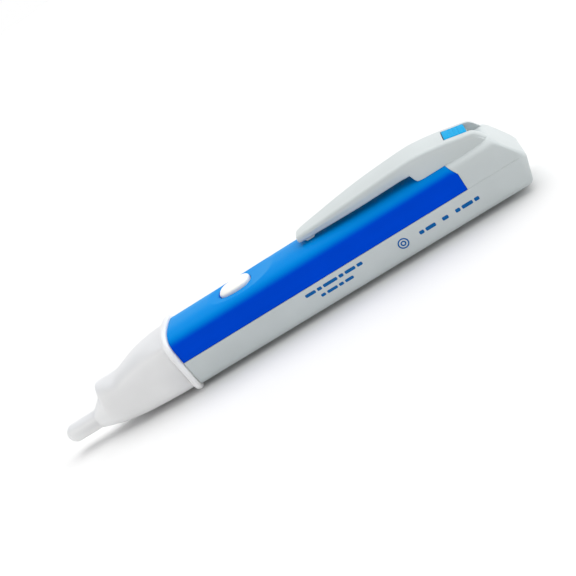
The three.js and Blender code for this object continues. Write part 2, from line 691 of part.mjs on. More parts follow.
place('led_lead_right', ledLead(1), STEEL);
place('sensor_rod', sensorRod(), BRASS);
place('sensor_tip', sensorTip(), BRASS);
place('buzzer', buzzer(), BLACK);
place('battery_front', cell(CELL_REAR - CELL_LENGTH - CELL_SPACE), STEEL);
place('battery_rear', cell(CELL_REAR), STEEL);
place('battery_coil', batteryCoil(), STEEL);
place('battery_contact', frontContact(), STEEL);
place('return_strip', returnStrip(), BRASS);

export default pen;
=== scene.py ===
import math

import bmesh
import bpy
from mathutils import Matrix, Vector


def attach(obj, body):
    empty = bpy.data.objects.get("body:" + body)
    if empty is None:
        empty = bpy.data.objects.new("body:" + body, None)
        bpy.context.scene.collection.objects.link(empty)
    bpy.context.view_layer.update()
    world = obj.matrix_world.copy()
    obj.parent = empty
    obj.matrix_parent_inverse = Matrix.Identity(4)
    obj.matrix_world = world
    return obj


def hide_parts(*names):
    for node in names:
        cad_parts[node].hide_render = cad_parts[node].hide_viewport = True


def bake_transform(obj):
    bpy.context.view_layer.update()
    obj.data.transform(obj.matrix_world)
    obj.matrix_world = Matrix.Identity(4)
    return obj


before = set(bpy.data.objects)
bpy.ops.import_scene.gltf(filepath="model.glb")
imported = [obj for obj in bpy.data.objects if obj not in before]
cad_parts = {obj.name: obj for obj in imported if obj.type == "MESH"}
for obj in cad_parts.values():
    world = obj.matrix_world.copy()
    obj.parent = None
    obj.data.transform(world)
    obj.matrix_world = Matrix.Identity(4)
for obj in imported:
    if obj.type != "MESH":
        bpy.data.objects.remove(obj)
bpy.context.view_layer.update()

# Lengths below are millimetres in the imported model's frame; MM turns them into Blender's metres.
MM = 0.001
LIFT = 1.1                     # barrel underside above the floor
SEAM = 0.06                    # visible gap between the outside mouldings

# ---- driving dimensions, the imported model's; but TIP_X, COLLAR_OUT and SHELL_FRONT differ from it by up
# to 0.2 mm, and CLIP and SKIRT_FRONT are the visible clip's own ----
TIP_X = -76.53
TAIL_X = 76.6
HALF_WIDTH = 9.5
WIDEST_Z = 13.9
CREST_Z = 18.0
CROWN_POWER = 2.7
FOOT_HALF = 8.0
FOOT_ROUND = 3.2
RIDGE_Z = 9.05
RIDGE_OUT = 0.12
RIDGE_STEP = 0.1               # the lower barrel stands this proud of what is above the ridge
WALL = 1.4
SHELL_WALL = 1.5
COLLAR_FRONT = -33.4
COLLAR_REAR = -31.5
COLLAR_OUT = 1.09
SHELL_FRONT = -31.4
SHELL_REAR = 59.3
PRONG_RADIUS = 2.8
PRONG_END = -65.1
PRONG_Z = 5.05
NOSE_WALL = 1.2
# nose stations: x, half width, top, bottom, widest height, squareness above and below
NOSE = [
    (-65.1, 3.1, 7.95, 2.0, 5.1, 2.1, 2.1),
    (-63.2, 4.0, 9.4, 1.6, 5.6, 2.2, 2.3),
    (-61.2, 4.7, 11.1, 1.2, 6.2, 2.2, 2.5),
    (-60.1, 5.1, 12.1, 1.0, 6.8, 2.1, 2.6),
    (-59.95, 5.25, 13.9, 0.95, 7.3, 2.0, 2.65),
    (-59.7, 5.35, 14.6, 0.85, 7.9, 2.0, 2.7),
    (-59.2, 5.55, 14.75, 0.75, 8.2, 2.05, 2.8),
    (-56.5, 6.3, 14.6, 0.45, 8.6, 2.3, 3.1),
    (-53.0, 7.0, 14.4, 0.2, 9.2, 2.5, 3.4),
    (-50.0, 7.6, 15.2, 0.05, 10.0, 2.7, 3.7),
    (-45.6, 8.3, 16.6, 0, 11.2, 2.8, 4.1),
    (-40.7, 8.8, 17.45, 0, 12.4, 2.8, 4.5),
    (-36.8, 9.1, 17.75, 0, 13.2, 2.8, 4.8),
    (-33.2, 9.2, 17.8, 0, 13.7, 2.8, 4.8),
]
BUTTON_X = -8.8
BUTTON_HALF_LENGTH = 4.85
BUTTON_HALF_WIDTH = 4.1
BUTTON_TOP = 18.7
BUTTON_POWER = 2.6
SCOOP_FRONT = -17.2
SCOOP_REAR = 3.8
SCOOP_DEPTH = 0.85
SLOPE_X = 76.5
SLOPE_RUN = 0.68
# clip: x, top height, half width
CLIP = [
    (13.6, 20.3, 2.6),
    (14.0, 20.9, 3.1),
    (17.7, 21.45, 3.9),
    (21.2, 21.75, 4.5),
    (26.8, 22.3, 5.3),
    (34.8, 22.95, 6.1),
    (42.6, 23.4, 6.35),
    (50.6, 23.65, 6.45),
    (55.0, 23.25, 6.45),
    (60.3, 22.4, 6.45),
    (64.1, 21.6, 6.4),
    (67.6, 20.85, 6.3),
    (69.3, 20.2, 6.2),
    (70.0, 19.3, 6.1),
    (71.0, 18.6, 6.0),
]
CLIP_FLARE = 0.6
FOOT_FILLET, FOOT_Z = 0.3, 17.15   # where the clip's sides run out into the sleeve
ARM_TUCK = 1.1                 # how far the arm's sides lean in towards its underside
# front of the clip's skirt: x, height of its lower edge
SKIRT_FRONT = [
    (48.3, 19.6),
    (48.85, 18.35),
    (49.15, 17.75),
    (49.5, 17.35),
    (49.95, 17.15),
    (50.6, 17.05),
    (51.0, 14.0),
]
LATCH_FRONT = 60.6
LATCH_REAR = 66.8
LATCH_HALF = 3.9
PIN_X, PIN_Z, PIN_HOLE = 63.5, 19.0, 0.53   # the rocker's pin, and the radius of the hole round it
WINDOW_HALF = 2.9              # opening under the rocker that its stem reaches through
BEAM_HALF, BEAM_LOW, BEAM_TOP = 2.4, 14.9, 15.7
ARM_UNDER_Z, ARM_UNDER_RISE = 18.75, 0.02   # clip arm's underside at its front, and its rise along X
CLIP_TRIM_END = 58.4           # the clip stands clear of the barrel up to here
CAVITY_REAR = 69.8             # end of the sleeve's hollow
CELL_RADIUS = 5.25
CELL_LENGTH = 44.1
CELL_Z = 7.8
CELL_REAR = 68.4
CELL_GAP = 0.3                 # between the two cells


# ---- small maths ----
def lerp(a, b, t):
    return a + (b - a) * t


def soft_min(a, b, k):
    """The smaller of two heights, with the corner between them rounded over about k."""
    if k <= 0:
        return min(a, b)
    h = max(k - abs(a - b), 0.0) / k
    return min(a, b) - h * h * k * 0.25


def soft_max(a, b, k):
    return -soft_min(-a, -b, k)


def smooth(t):
    t = min(max(t, 0.0), 1.0)
    return t * t * (3 - 2 * t)


def between(table, x, column):
    """A smooth curve through a table's column (monotone cubic, so nothing overshoots)."""
    if x <= table[0][0]:
        return table[0][column]
    if x >= table[-1][0]:
        return table[-1][column]
    i = max(j for j in range(len(table) - 1) if table[j][0] <= x)
    slopes = [(table[j + 1][column] - table[j][column]) / (table[j + 1][0] - table[j][0])
              for j in range(len(table) - 1)]

    def tangent(j):
        if j in (0, len(table) - 1):
            return slopes[min(j, len(slopes) - 1)]
        a, b = slopes[j - 1], slopes[j]
        return 0.0 if a * b <= 0 else 2 * a * b / (a + b)

    x0, x1 = table[i][0], table[i + 1][0]
    h = x1 - x0
    t = (x - x0) / h
    y0, y1 = table[i][column], table[i + 1][column]
    return ((2 * t ** 3 - 3 * t * t + 1) * y0 + (t ** 3 - 2 * t * t + t) * h * tangent(i)
            + (3 * t * t - 2 * t ** 3) * y1 + (t ** 3 - t * t) * h * tangent(i + 1))


def spread(a, b, step):
    count = max(1, round(abs(b - a) / step))
    return [lerp(a, b, i / count) for i in range(count + 1)]


def resample(points, count):
    """count points at equal steps along an open polyline, its two ends included."""
    lengths = [0.0]
    for p, q in zip(points, points[1:]):
        lengths.append(lengths[-1] + math.dist(p, q))
    out = []
    j = 0
    for i in range(count):
        want = lengths[-1] * i / (count - 1)
        while j < len(lengths) - 2 and lengths[j + 1] < want:
            j += 1
        span = lengths[j + 1] - lengths[j]
        t = 0 if span == 0 else (want - lengths[j]) / span
        out.append(tuple(lerp(a, b, t) for a, b in zip(points[j], points[j + 1])))
    return out


# ---- mesh making ----
def make_piece(name, points, faces):
    mesh = bpy.data.meshes.new(name)
    mesh.from_pydata([(x * MM, y * MM, (z + LIFT) * MM) for x, y, z in points], [], faces)
    work = bmesh.new()
    work.from_mesh(mesh)
    bmesh.ops.remove_doubles(work, verts=work.verts, dist=1e-7)
    bmesh.ops.recalc_face_normals(work, faces=work.faces)
    work.to_mesh(mesh)
    work.free()
    piece = bpy.data.objects.new(name, mesh)
    bpy.context.scene.collection.objects.link(piece)
    return piece


def loft(name, rings):
    """Skins rings of equal point counts and closes both ends."""
    count = len(rings[0])
    points = [p for ring in rings for p in ring]
    faces = []
    for k in range(len(rings) - 1):
        for i in range(count):
            a, b = k * count + i, k * count + (i + 1) % count
            faces.append((a, b, b + count, a + count))
    faces.append(tuple(reversed(range(count))))
    faces.append(tuple(range((len(rings) - 1) * count, len(rings) * count)))
    return make_piece(name, points, faces)


def apply_modifiers(piece):
    graph = bpy.context.evaluated_depsgraph_get()
    mesh = bpy.data.meshes.new_from_object(piece.evaluated_get(graph))
    old = piece.data
    piece.modifiers.clear()
    piece.data = mesh
    bpy.data.meshes.remove(old)
    mesh.name = piece.name


def combine(piece, tool, operation="DIFFERENCE"):
    """A boolean that keeps piece and uses up tool."""
    modifier = piece.modifiers.new("cut", "BOOLEAN")
    modifier.operation = operation
    modifier.solver = "EXACT"
    modifier.object = tool
    apply_modifiers(piece)
    bpy.data.objects.remove(tool)


def finish(piece, material, body=None, bevel=0.0, segments=2, sharp=32, nodes=()):
    """Rounds the hard edges, smooths the shading, and says what the piece is made of and rides on."""
    if bevel:
        modifier = piece.modifiers.new("edge", "BEVEL")
        modifier.width = bevel * MM
        modifier.segments = segments
        modifier.limit_method = "ANGLE"
        modifier.angle_limit = math.radians(sharp)
        modifier.use_clamp_overlap = True
        apply_modifiers(piece)
    piece.data.shade_smooth()
    weighted = piece.modifiers.new("normals", "WEIGHTED_NORMAL")
    weighted.weight = 60
    apply_modifiers(piece)
    piece.data.materials.clear()
    piece.data.materials.append(material)
    if nodes:
        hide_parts(*nodes)
    if body:
        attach(piece, body)
    return piece


# ---- materials ----
def new_material(name):
    material = bpy.data.materials.new(name)
    material.use_nodes = True
    tree = material.node_tree
    shader = tree.nodes["Principled BSDF"]
    coords = tree.nodes.new("ShaderNodeTexCoord")
    return material, tree, shader, coords


def noise(tree, coords, scale, detail=3.0):
    node = tree.nodes.new("ShaderNodeTexNoise")
    node.inputs["Scale"].default_value = scale
    node.inputs["Detail"].default_value = detail
    tree.links.new(coords.outputs["Object"], node.inputs["Vector"])
    return node


def ramp(tree, source, low, high, start=0.35, end=0.65):
    node = tree.nodes.new("ShaderNodeValToRGB")
    node.color_ramp.elements[0].position = start
    node.color_ramp.elements[1].position = end
    node.color_ramp.elements[0].color = (*low, 1)
    node.color_ramp.elements[1].color = (*high, 1)
    tree.links.new(source.outputs["Fac"], node.inputs["Fac"])
    return node


def bump(tree, shader, source, strength, distance):
    node = tree.nodes.new("ShaderNodeBump")
    node.inputs["Strength"].default_value = strength
    node.inputs["Distance"].default_value = distance
    tree.links.new(source.outputs["Fac"], node.inputs["Height"])
    tree.links.new(node.outputs["Normal"], shader.inputs["Normal"])


def roughness_map(tree, shader, source, low, high):
    node = tree.nodes.new("ShaderNodeMapRange")
    node.inputs["To Min"].default_value = low
    node.inputs["To Max"].default_value = high
    tree.links.new(source.outputs["Fac"], node.inputs["Value"])
    tree.links.new(node.outputs["Result"], shader.inputs["Roughness"])


def paint_light_on_upward_faces(tree, shader, coords, shade, crown, start):
    """Painted light: the colour changes to crown on the faces that look up in the piece's own frame, lighter
    or darker as if lit from above.
    """
    split = tree.nodes.new("ShaderNodeSeparateXYZ")
    tree.links.new(coords.outputs["Normal"], split.inputs["Vector"])
    amount = tree.nodes.new("ShaderNodeMapRange")
    amount.interpolation_type = "SMOOTHSTEP"
    amount.inputs["From Min"].default_value = start
    amount.inputs["From Max"].default_value = 0.95
    tree.links.new(split.outputs["Z"], amount.inputs["Value"])
    mix = tree.nodes.new("ShaderNodeMix")
    mix.data_type = "RGBA"
    mix.inputs["B"].default_value = (*crown, 1)
    tree.links.new(amount.outputs["Result"], mix.inputs["Factor"])
    tree.links.new(shade.outputs["Color"], mix.inputs["A"])
    tree.links.new(mix.outputs["Result"], shader.inputs["Base Color"])


def plastic(name, colour, roughness, grain=0.06, grain_scale=5200, drift=0.03, tint=(1, 1, 1), crown=None,
            painted_light_start=0.12):
    """Moulded plastic: a fine spark-eroded grain and a slow drift in colour; crown paints light or shade onto
    its upward faces.
    """
    material, tree, shader, coords = new_material(name)
    shader.inputs["Specular Tint"].default_value = (*tint, 1)
    slow = noise(tree, coords, 60, 2)
    fine = noise(tree, coords, grain_scale, 4)
    darker = tuple(c * (1 - drift) for c in colour)
    lighter = tuple(min(1, c * (1 + drift)) for c in colour)
    shade = ramp(tree, slow, darker, lighter)
    tree.links.new(shade.outputs["Color"], shader.inputs["Base Color"])
    # crown is painted light: the upward faces get a lighter or darker colour
    if crown:
        paint_light_on_upward_faces(tree, shader, coords, shade, crown, painted_light_start)
    roughness_map(tree, shader, fine, roughness * 0.88, roughness * 1.12)
    bump(tree, shader, fine, grain, 0.00003)
    return material


def deep_colour(material, glow, weight):
    """A saturated moulding: little white gloss, and a coloured glow where it is seen edge on."""
    shader = material.node_tree.nodes["Principled BSDF"]
    shader.inputs["Specular IOR Level"].default_value = 0.03
    shader.inputs["Sheen Weight"].default_value = weight
    shader.inputs["Sheen Roughness"].default_value = 0.4
    shader.inputs["Sheen Tint"].default_value = (*glow, 1)
    return material


def window(tree, source, start, end):
    """0 to 1 while a coordinate goes from start to end, in millimetres."""
    node = tree.nodes.new("ShaderNodeMapRange")
    node.interpolation_type = "SMOOTHSTEP"
    node.inputs["From Min"].default_value = min(start, end) * MM
    node.inputs["From Max"].default_value = max(start, end) * MM
    node.inputs["To Min"].default_value = 0.0 if start < end else 1.0
    node.inputs["To Max"].default_value = 1.0 if start < end else 0.0
    tree.links.new(source, node.inputs["Value"])
    return node.outputs["Result"]


def product(tree, *factors):
    out = factors[0]
    for factor in factors[1:]:
        node = tree.nodes.new("ShaderNodeMath")
        node.operation = "MULTIPLY"
        tree.links.new(out, node.inputs[0])
        tree.links.new(factor, node.inputs[1])
        out = node.outputs[0]
    return out


def paint_see_through_shade(tree, shader, amount, colour):
    """Painted shade: blends the base colour towards a darker colour that stands in for what lies behind the
    wall.
    """
    before = shader.inputs["Base Color"].links[0].from_socket
    mix = tree.nodes.new("ShaderNodeMix")
    mix.data_type = "RGBA"
    mix.inputs["B"].default_value = (*colour, 1)
    tree.links.new(amount, mix.inputs["Factor"])
    tree.links.new(before, mix.inputs["A"])
    tree.links.new(mix.outputs["Result"], shader.inputs["Base Color"])


def milky(name, colour, crown):
    """Translucent nose: light goes a few millimetres in and comes back soft. The dark end of the core and the
    sensor in the prong are painted on as faint shade seen through the wall, and crown paints shade on the
    upward faces."""
    # crown here is painted shade: the upward faces are darkened to flatten the lighting
    material = plastic(name, colour, 0.34, 0.03, crown=crown, painted_light_start=0.4)
    tree = material.node_tree
    shader = tree.nodes["Principled BSDF"]
    split = tree.nodes.new("ShaderNodeSeparateXYZ")
    coords = next(node for node in tree.nodes if node.type == "TEX_COORD")
    tree.links.new(coords.outputs["Object"], split.inputs["Vector"])
    x, z = split.outputs["X"], split.outputs["Z"]
    # painted shade: the colour darkens where the dark end of the core would be seen through the wall
    core_end_shade = product(tree, window(tree, x, -42, -34.5), window(tree, x, -33.5, -33.9),
                       window(tree, z, 12 + LIFT, 6 + LIFT))
    paint_see_through_shade(tree, shader, core_end_shade, (0.81, 0.815, 0.825))
    middle = PRONG_Z + LIFT
    # painted shade: a darker streak where the sensor would be seen through the prong
    sensor = product(tree, window(tree, x, -75, -67), window(tree, x, PRONG_END + 0.4, PRONG_END - 0.6),
                     window(tree, z, middle - 1.7, middle - 0.3), window(tree, z, middle + 1.5, middle + 0.1))
    paint_see_through_shade(tree, shader, sensor, (0.77, 0.775, 0.78))
    shader.inputs["Subsurface Weight"].default_value = 0.7
    shader.inputs["Subsurface Radius"].default_value = (1.0, 1.0, 1.0)
    shader.inputs["Subsurface Scale"].default_value = 0.0025
    shader.inputs["Transmission Weight"].default_value = 0.05
    shader.inputs["IOR"].default_value = 1.49
    return material


def metal(name, colour, roughness, scale=900):
    material, tree, shader, coords = new_material(name)
    stretch = tree.nodes.new("ShaderNodeMapping")
    stretch.inputs["Scale"].default_value = (0.12, 1, 1)
    tree.links.new(coords.outputs["Object"], stretch.inputs["Vector"])
    grain = noise(tree, coords, scale * 3, 4)
    tree.links.new(stretch.outputs["Vector"], grain.inputs["Vector"])
    shade = ramp(tree, grain, tuple(c * 0.9 for c in colour), tuple(min(1, c * 1.08) for c in colour))
    tree.links.new(shade.outputs["Color"], shader.inputs["Base Color"])
    shader.inputs["Metallic"].default_value = 1.0
    roughness_map(tree, shader, grain, roughness * 0.8, roughness * 1.25)
    bump(tree, shader, grain, 0.05, 0.00002)
    return material


GREY = plastic("grey_moulding", (0.545, 0.59, 0.595), 0.36, 0.05)
# the blue's crown is a painted highlight: its upward faces turn a lighter cyan, as if lit from above
BLUE = deep_colour(plastic("blue_moulding", (0.0, 0.058, 0.64), 0.33, 0.04, tint=(0.02, 0.5, 1.0),
                           crown=(0.0, 0.215, 0.66)), (0.0, 0.7, 1.0), 0.4)
SKY = deep_colour(plastic("light_blue_moulding", (0.0, 0.33, 0.66), 0.38, 0.04, tint=(0.02, 0.6, 1.0)),
                  (0.0, 0.8, 0.6), 0.1)
WHITE = plastic("white_moulding", (0.84, 0.84, 0.81), 0.34, 0.03)
# the milky moulding's crown is painted shade on its upward faces
MILK = milky("milky_moulding", (0.88, 0.885, 0.89), (0.70, 0.71, 0.73))
DARK = plastic("dark_moulding", (0.055, 0.06, 0.07), 0.5, 0.08, 3000)
BLACK = plastic("black_epoxy", (0.014, 0.014, 0.016), 0.45, 0.08, 4000)
INK = plastic("blue_print", (0.004, 0.10, 0.34), 0.6, 0.02, tint=(0.1, 0.5, 1.0))
BOARD = plastic("board_lacquer", (0.012, 0.13, 0.045), 0.3, 0.05, 2500, 0.12)
TAN = plastic("tan_ceramic", (0.42, 0.27, 0.13), 0.4, 0.04)
LED_CLEAR = plastic("led_epoxy", (0.72, 0.14, 0.12), 0.12, 0.01)
STEEL = metal("nickelled_steel", (0.62, 0.63, 0.65), 0.28)
BRASS = metal("bare_brass", (0.66, 0.47, 0.18), 0.3)


# ---- section outlines, as (y, z) ----
def barrel_half(inset, low_count=26, high_count=34):
    """From the middle of the underside to the crest, along the +Y side."""
    foot = FOOT_HALF - inset * 0.95
    corner = max(FOOT_ROUND - inset * 0.6, 0.8)
    wide = HALF_WIDTH - inset
    lean = (wide - foot) / (WIDEST_Z - inset)
    top = (foot + lean * corner, inset + corner)
    low = [(0.0, inset)]
    for i in range(17):
        t = i / 16
        low.append((
            (1 - t) ** 2 * (foot - corner) + 2 * t * (1 - t) * foot + t * t * top[0],
            (1 - t) ** 2 * inset + 2 * t * (1 - t) * inset + t * t * top[1],
        ))
    step = RIDGE_STEP if inset == 0 else 0.0
    ridge = foot + lean * (RIDGE_Z - inset) + RIDGE_OUT
    low.append((ridge, RIDGE_Z - 0.04))
    high = [(ridge - step, RIDGE_Z + 0.08)]
    for i in range(181):
        angle = i / 180 * math.pi / 2
        high.append((
            wide * max(math.cos(angle), 0) ** (2 / CROWN_POWER),
            WIDEST_Z + (CREST_Z - inset - WIDEST_Z) * math.sin(angle) ** (2 / CROWN_POWER),
        ))
    lip = [(ridge, RIDGE_Z), (ridge - step, RIDGE_Z + 0.05)]
    return resample(low, low_count) + lip + resample(high, high_count)


def both_sides(half):
    """A closed loop from a half outline whose two ends lie on the mid plane."""
    return half + [(-y, z) for y, z in reversed(half[1:-1])]


def barrel_ring(x, inset):
    return [(x, y, z) for y, z in both_sides(barrel_half(inset))]


def barrel(name, inset, x0, x1):
    return loft(name, [barrel_ring(x0, inset), barrel_ring(x1, inset)])


def egg(half, top, bottom, widest, power, low_power, inset=0.0, count=240):
    out = []
    for i in range(count):
        angle = i / count * math.tau
        c, s = math.cos(angle), math.sin(angle)
        rise = top - inset - widest if s >= 0 else widest - bottom - inset
        n = power if s >= 0 else low_power
        out.append((
            math.copysign((half - inset) * abs(c) ** (2 / n), c),
            widest + math.copysign(rise * abs(s) ** (2 / n), s),
        ))
    return out


def by_angle(x, outline, middle, count=112):
    """The outline's points met by equally spaced rays from (0, middle)."""
    polar = sorted((math.atan2(z - middle, y) % math.tau, math.hypot(y, z - middle)) for y, z in outline)
    polar = [(polar[-1][0] - math.tau, polar[-1][1])] + polar + [(polar[0][0] + math.tau, polar[0][1])]
    ring = []
    j = 0
    for i in range(count):
        angle = i / count * math.tau
        while polar[j + 1][0] < angle:
            j += 1
        (a0, r0), (a1, r1) = polar[j], polar[j + 1]
        # straight chord between the two neighbours, met by the ray
        p = (r0 * math.cos(a0), r0 * math.sin(a0))
        q = (r1 * math.cos(a1), r1 * math.sin(a1))
        dx, dy = q[0] - p[0], q[1] - p[1]
        c, s = math.cos(angle), math.sin(angle)
        bottom = c * dy - s * dx
        r = r0 if abs(bottom) < 1e-9 else (p[0] * dy - p[1] * dx) / bottom
        ring.append((x, r * c, middle + r * s))
    return ring


def nose_outline(x, inset=0.0):
    return egg(*(between(NOSE, x, c) for c in range(1, 7)), inset)


def slab(name, profile, y0, y1):
    """A side profile in X and Z carried across the width."""
    return loft(name, [[(x, y, z) for x, z in profile] for y in (y0, y1)])


def block(name, x0, x1, y0, y1, z0, z1):
    return slab(name, [(x0, z0), (x1, z0), (x1, z1), (x0, z1)], y0, y1)


# ---- nose cap: one skin from the tip, over the collar, round the spigot and back up the hollow ----
def nose_cap():
    rings = []

    def circle(x, r):
        rings.append(by_angle(x, egg(r, PRONG_Z + r, PRONG_Z - r, PRONG_Z, 2, 2), PRONG_Z))

    def follow(x, inset=0.0):
        middle = (between(NOSE, x, 2) + between(NOSE, x, 3)) / 2
        rings.append(by_angle(x, nose_outline(x, inset), middle))

    def follow_barrel(x, inset):
        rings.append(by_angle(x, both_sides(barrel_half(inset)), 8.9))

    for i in range(13):
        angle = max(i, 0.02) / 12 * math.pi / 2      # 0.02: a tiny first ring, not a point
        circle(TIP_X + PRONG_RADIUS * (1 - math.cos(angle)), PRONG_RADIUS * math.sin(angle))
    for x in spread(TIP_X + PRONG_RADIUS + 0.5, PRONG_END - 0.5, 0.8):
        circle(x, PRONG_RADIUS)
    circle(PRONG_END - 0.25, PRONG_RADIUS + 0.06)
    circle(PRONG_END - 0.1, PRONG_RADIUS + 0.2)
    for x in spread(PRONG_END, -61.5, 0.35) + spread(-61.2, -58.8, 0.12) + spread(-58.2, -34.0, 0.7):
        follow(x)
    for x in spread(-33.8, COLLAR_FRONT + 0.02, 0.2):
        follow(x)
    collar = [(0.0, -0.15)] + [
        (0.95 - 0.95 * math.cos(a / 14 * math.pi), COLLAR_OUT * math.sin(a / 14 * math.pi) ** 0.75)
        for a in range(1, 14)
    ]
    for dx, out in collar:
        follow_barrel(COLLAR_FRONT + dx, -out if out > 0 else 0.2)
    follow_barrel(COLLAR_REAR, 0.25)
    spigot = ((1.7, COLLAR_REAR), (1.7, -27.8), (1.85, -27.5), (2.7, -27.5), (2.8, -27.7), (2.8, -32.4))
    for inset, x in spigot:
        follow_barrel(x, inset)
    for x in spread(-34, -58.4, 1.2):
        follow(x, NOSE_WALL)
    for x in (-58.6, -62, -68, -74.0):
        circle(x, 1.4)
    circle(-74.2, 0.02)
    piece = loft("nose_cap_shell", rings)
    return finish(piece, MILK, "core", nodes=("nose_cap",))


# ---- blue upper shell ----
def scoop_floor(x):
    middle = (SCOOP_FRONT + SCOOP_REAR) / 2
    reach = (SCOOP_REAR - SCOOP_FRONT) / 2
    return CREST_Z - SCOOP_DEPTH * (1 - ((x - middle) / reach) ** 2)


def button_ring(z, scale=1.0, grow=0.0, count=72):
    ring = []
    for i in range(count):
        angle = i / count * math.tau
        c, s = math.cos(angle), math.sin(angle)
        x = math.copysign(abs(c) ** (2 / BUTTON_POWER), c) * (BUTTON_HALF_LENGTH * scale + grow)
        y = math.copysign(abs(s) ** (2 / BUTTON_POWER), s) * (BUTTON_HALF_WIDTH * scale + grow)
        ring.append((BUTTON_X + x, y, z))
    return ring


def shell_rear(z):
    """Where the shell ends at a height: upright, then leaning forward near the crest."""
    return SHELL_REAR - max(0.0, z - 14.3) * 0.62


def upper_shell():
    outside = [p for p in barrel_half(0, 30, 60) if p[1] >= RIDGE_Z + 0.25]
    inside = [p for p in barrel_half(SHELL_WALL, 20, 34) if p[1] >= RIDGE_Z + 0.25]
    foot = RIDGE_Z + SEAM / 2
    edge = outside[0][0] - 0.01
    lip = [(edge - 0.14, foot), (edge - 0.05, foot + 0.03), (edge, foot + 0.12)]
    inner_foot = [(inside[0][0] + 0.02, foot + 0.1), (inside[0][0] + 0.14, foot)]
    half_out = lip + outside
    half_in = inner_foot[::-1] + inside
    loop = half_out + [(-y, z) for y, z in reversed(half_out[:-1])]
    back = [(-y, z) for y, z in half_in] + [(y, z) for y, z in reversed(half_in[:-1])]
    outer_count = len(loop)

    def ring(x, at_rear, shrink):
        out = []
        for i, (y, z) in enumerate(loop + back):
            if i < outer_count:
                y, z = y * (1 - shrink / 9.5), z - shrink * max(0.0, (z - 12) / 6)
                if SCOOP_FRONT - 3 < x < SCOOP_REAR + 3:
                    z = soft_min(z, max(scoop_floor(x), 12.0), 0.1)
            px = x if not at_rear else lerp(50.0, shell_rear(z), (x - 50.0) / (SHELL_REAR - 50.0))
            out.append((px, y, z))
        return out

    stations = [(SHELL_FRONT, 0.16), (SHELL_FRONT + 0.05, 0.06), (SHELL_FRONT + 0.16, 0.0)]
    stations += [(x, 0.0) for x in spread(-30, -19, 1.4) + spread(-18.6, 5.2, 0.28) + spread(6.5, 49.5, 3.0)]
    rings = [ring(x, False, s) for x, s in stations]
    rear = [(x, 0.0) for x in spread(50.0, SHELL_REAR - 0.2, 1.2)]
    rear += [(SHELL_REAR - 0.07, 0.05), (SHELL_REAR, 0.15)]
    rings += [ring(x, True, s) for x, s in rear]
    piece = loft("upper_shell_skin", rings)
    hole = ((10, 0.13), (16.85, 0.13), (17.05, 0.2), (17.5, 0.55), (25, 0.6))   # height, gap round the button
    combine(piece, loft("tool", [button_ring(z, 1, gap) for z, gap in hole]))
    return finish(piece, BLUE, "core", bevel=0.05, sharp=50, nodes=("upper_shell",))


# ---- grey sleeve ----
def slope_z(x):
    """Height of the tail slope at x."""
    return RIDGE_Z + (SLOPE_X - x) / SLOPE_RUN


def tail_profile():
    """Upper and lower limits of the tail against x, as two open polylines that meet at its end."""
    end = (TAIL_X - 0.03, 8.35)
    turn = SLOPE_X - 1.1
    upper = [(40.0, slope_z(40.0)), (turn, slope_z(turn))]
    upper += arc_through((turn, slope_z(turn)), (TAIL_X - 0.03, slope_z(TAIL_X - 0.03)), end, 10)
    lower = [(66.0, 0.0), (72.4, 0.0)]
    lower += arc_through((72.4, 0.0), (74.3, 0.0), (74.95, 2.3), 8)
    lower += [(75.75, 5.5), (76.3, 7.4)]
    lower += arc_through((76.3, 7.4), (76.5, 8.0), end, 4)
    return upper, lower


def arc_through(start, corner, end, steps):
    """A quadratic curve from start to end that leaves and arrives along the lines to corner.
    The start point is left out."""
    out = []
    for i in range(1, steps + 1):
        t = i / steps
        out.append(tuple((1 - t) ** 2 * a + 2 * t * (1 - t) * b + t * t * c
                         for a, b, c in zip(start, corner, end)))
    return out


def height_on(line, x):
    if x <= line[0][0]:
        return line[0][1]
    for (x0, z0), (x1, z1) in zip(line, line[1:]):
        if x <= x1:
            return lerp(z0, z1, (x - x0) / max(x1 - x0, 1e-9))
    return line[-1][1]


def latch_window(low, high):
    return block("tool", LATCH_FRONT + 0.5, LATCH_REAR - 1.0, -WINDOW_HALF, WINDOW_HALF, low, high)


